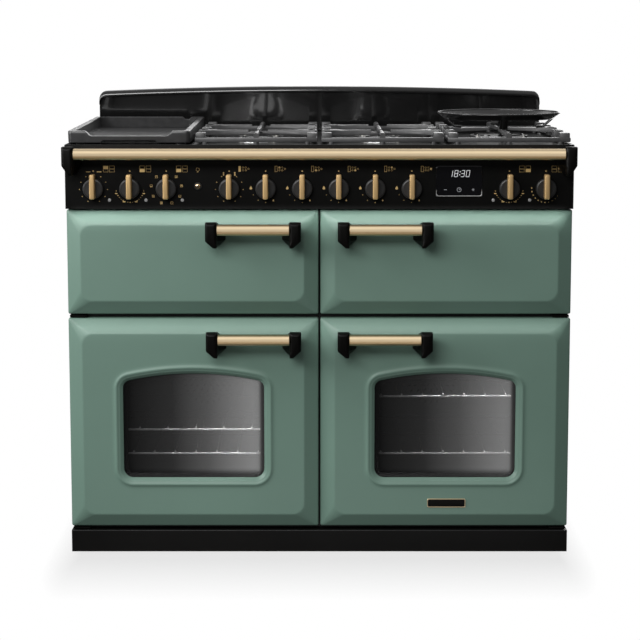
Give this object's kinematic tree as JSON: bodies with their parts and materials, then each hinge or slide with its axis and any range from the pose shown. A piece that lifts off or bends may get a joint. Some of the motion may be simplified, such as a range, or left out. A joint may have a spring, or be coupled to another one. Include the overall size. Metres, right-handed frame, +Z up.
{
  "type": "range cooker",
  "caption": "Free-standing dual-fuel range cooker with side-hung oven doors, grill door, warming drawer, gas hob, griddle, wok cradle and arched backguard.",
  "frame": {"origin": "on the floor, under the middle of the cooker's outline", "axes": "+X to the right of a person facing the doors, +Y to the back, +Z up"},
  "size_m": [1.0995, 0.66, 1.0049],
  "materials": {
    "green_enamel": "satin vitreous enamel",
    "black_enamel": "gloss vitreous enamel",
    "galvanised": "plain zinc-coated sheet",
    "grey_enamel": "dark speckled oven enamel",
    "wire": "bright plated wire",
    "champagne_brass": "fine brushed, pale brass",
    "black_bracket": "satin black paint",
    "cast_iron": "matt black enamelled casting",
    "burner_alloy": "cast and machined",
    "ceramic_plate": "black glass ceramic",
    "tap_brass": "forged",
    "control_case": "moulded case",
    "clock_glass": "gloss black panel",
    "lamp_lens": "clear lens",
    "seal_rubber": "matt seal",
    "foot_plastic": "moulded",
    "door_glass": "tinted toughened glass",
    "knob_black": "satin black with brass grip bar"
  },
  "bodies": {
    "carcass": {"base_tray": "galvanised", "levelling_feet": "foot_plastic", "plinth": "black_enamel", "side_panels": "black_enamel", "back_panel": "galvanised", "front_frame": "black_enamel", "left_oven_cavity": "grey_enamel", "right_oven_cavity": "grey_enamel", "grill_cavity": "grey_enamel", "drawer_housing": "galvanised", "drawer_runners": "galvanised", "oven_shelves": "wire", "grill_pan": "grey_enamel", "heating_elements": "wire", "door_seals": "seal_rubber", "hinge_brackets": "galvanised", "hob_tray": "black_enamel", "backguard": "black_enamel", "burner_bodies": "burner_alloy", "burner_caps": "black_enamel", "hot_plate": "ceramic_plate", "fascia": "black_enamel", "clock_display": "clock_glass", "indicator_lamps": "lamp_lens", "gas_taps": "tap_brass", "heat_controls": "control_case", "gas_manifold": "galvanised", "hob_rail": "champagne_brass", "rail_brackets": "black_bracket"},
    "left_door": {"left_door_panel": "green_enamel", "left_door_liner": "grey_enamel", "left_door_glass": "door_glass", "left_door_handle": "champagne_brass"},
    "right_door": {"right_door_panel": "green_enamel", "right_door_liner": "grey_enamel", "right_door_glass": "door_glass", "right_door_handle": "champagne_brass"},
    "grill_door": {"grill_door_panel": "green_enamel", "grill_door_liner": "galvanised", "grill_door_handle": "champagne_brass"},
    "drawer": {"drawer_front": "green_enamel", "drawer_box": "galvanised", "drawer_handle": "champagne_brass"},
    "griddle": {"griddle": "cast_iron"},
    "left_pan_support": {"left_pan_support": "cast_iron"},
    "centre_pan_support": {"centre_pan_support": "cast_iron"},
    "wok_pan_support": {"wok_pan_support": "cast_iron"},
    "wok_cradle": {"wok_cradle": "cast_iron"},
    "lamp_button": {"lamp_button": "champagne_brass"},
    "grill_knob": {"grill_knob": "knob_black"},
    "left_oven_knob": {"left_oven_knob": "knob_black"},
    "oven_function_knob": {"oven_function_knob": "knob_black"},
    "griddle_knob": {"griddle_knob": "knob_black"},
    "left_rear_burner_knob": {"left_rear_burner_knob": "knob_black"},
    "left_front_burner_knob": {"left_front_burner_knob": "knob_black"},
    "centre_front_burner_knob": {"centre_front_burner_knob": "knob_black"},
    "centre_rear_burner_knob": {"centre_rear_burner_knob": "knob_black"},
    "wok_burner_knob": {"wok_burner_knob": "knob_black"},
    "right_oven_knob": {"right_oven_knob": "knob_black"},
    "drawer_knob": {"drawer_knob": "knob_black"}
  },
  "joints": [
    {"name": "left_door_hinge", "type": "hinge", "parent": "carcass", "child": "left_door", "pos_m": [-0.538, -0.247, 0.295], "axis": [0, 0, -1], "range_deg": [0, 105]},
    {"name": "right_door_hinge", "type": "hinge", "parent": "carcass", "child": "right_door", "pos_m": [0.538, -0.247, 0.295], "axis": [0, 0, 1], "range_deg": [0, 105]},
    {"name": "grill_door_hinge", "type": "hinge", "parent": "carcass", "child": "grill_door", "pos_m": [-0.538, -0.247, 0.65], "axis": [0, 0, -1], "range_deg": [0, 105]},
    {"name": "drawer_slide", "type": "slide", "parent": "carcass", "child": "drawer", "axis": [0, -1, 0], "range_m": [0, 0.3]},
    {"name": "lamp_button_push", "type": "slide", "parent": "carcass", "child": "lamp_button", "axis": [0, 1, 0], "range_m": [0, 0.003], "stiffness_N_per_m": 400},
    {"name": "griddle_lift", "type": "slide", "parent": "carcass", "child": "griddle", "axis": [0, 0, 1], "range_m": [0, 0.12]},
    {"name": "left_pan_support_lift", "type": "slide", "parent": "carcass", "child": "left_pan_support", "axis": [0, 0, 1], "range_m": [0, 0.12]},
    {"name": "centre_pan_support_lift", "type": "slide", "parent": "carcass", "child": "centre_pan_support", "axis": [0, 0, 1], "range_m": [0, 0.12]},
    {"name": "wok_pan_support_lift", "type": "slide", "parent": "carcass", "child": "wok_pan_support", "axis": [0, 0, 1], "range_m": [0, 0.12]},
    {"name": "wok_cradle_lift", "type": "slide", "parent": "wok_pan_support", "child": "wok_cradle", "axis": [0, 0, 1], "range_m": [0, 0.12]},
    {"name": "grill_knob_turn", "type": "hinge", "parent": "carcass", "child": "grill_knob", "pos_m": [-0.485, -0.262, 0.811], "axis": [0, -1, 0], "range_deg": [-150, 150]},
    {"name": "left_oven_knob_turn", "type": "hinge", "parent": "carcass", "child": "left_oven_knob", "pos_m": [-0.4067, -0.262, 0.811], "axis": [0, 1, 0], "range_deg": [0, 260]},
    {"name": "oven_function_knob_turn", "type": "hinge", "parent": "carcass", "child": "oven_function_knob", "pos_m": [-0.3284, -0.262, 0.811], "axis": [0, 1, 0], "continuous": true},
    {"name": "griddle_knob_turn", "type": "hinge", "parent": "carcass", "child": "griddle_knob", "pos_m": [-0.1935, -0.262, 0.811], "axis": [0, 1, 0], "range_deg": [-150, 150]},
    {"name": "left_rear_burner_knob_turn", "type": "hinge", "parent": "carcass", "child": "left_rear_burner_knob", "pos_m": [-0.1152, -0.262, 0.811], "axis": [0, -1, 0], "range_deg": [0, 210]},
    {"name": "left_front_burner_knob_turn", "type": "hinge", "parent": "carcass", "child": "left_front_burner_knob", "pos_m": [-0.0369, -0.262, 0.811], "axis": [0, -1, 0], "range_deg": [0, 210]},
    {"name": "centre_front_burner_knob_turn", "type": "hinge", "parent": "carcass", "child": "centre_front_burner_knob", "pos_m": [0.0414, -0.262, 0.811], "axis": [0, -1, 0], "range_deg": [0, 210]},
    {"name": "centre_rear_burner_knob_turn", "type": "hinge", "parent": "carcass", "child": "centre_rear_burner_knob", "pos_m": [0.1197, -0.262, 0.811], "axis": [0, -1, 0], "range_deg": [0, 210]},
    {"name": "wok_burner_knob_turn", "type": "hinge", "parent": "carcass", "child": "wok_burner_knob", "pos_m": [0.198, -0.262, 0.811], "axis": [0, -1, 0], "range_deg": [0, 210]},
    {"name": "right_oven_knob_turn", "type": "hinge", "parent": "carcass", "child": "right_oven_knob", "pos_m": [0.4075, -0.262, 0.811], "axis": [0, 1, 0], "range_deg": [0, 260]},
    {"name": "drawer_knob_turn", "type": "hinge", "parent": "carcass", "child": "drawer_knob", "pos_m": [0.4858, -0.262, 0.811], "axis": [0, 1, 0], "range_deg": [0, 270]}
  ]
}
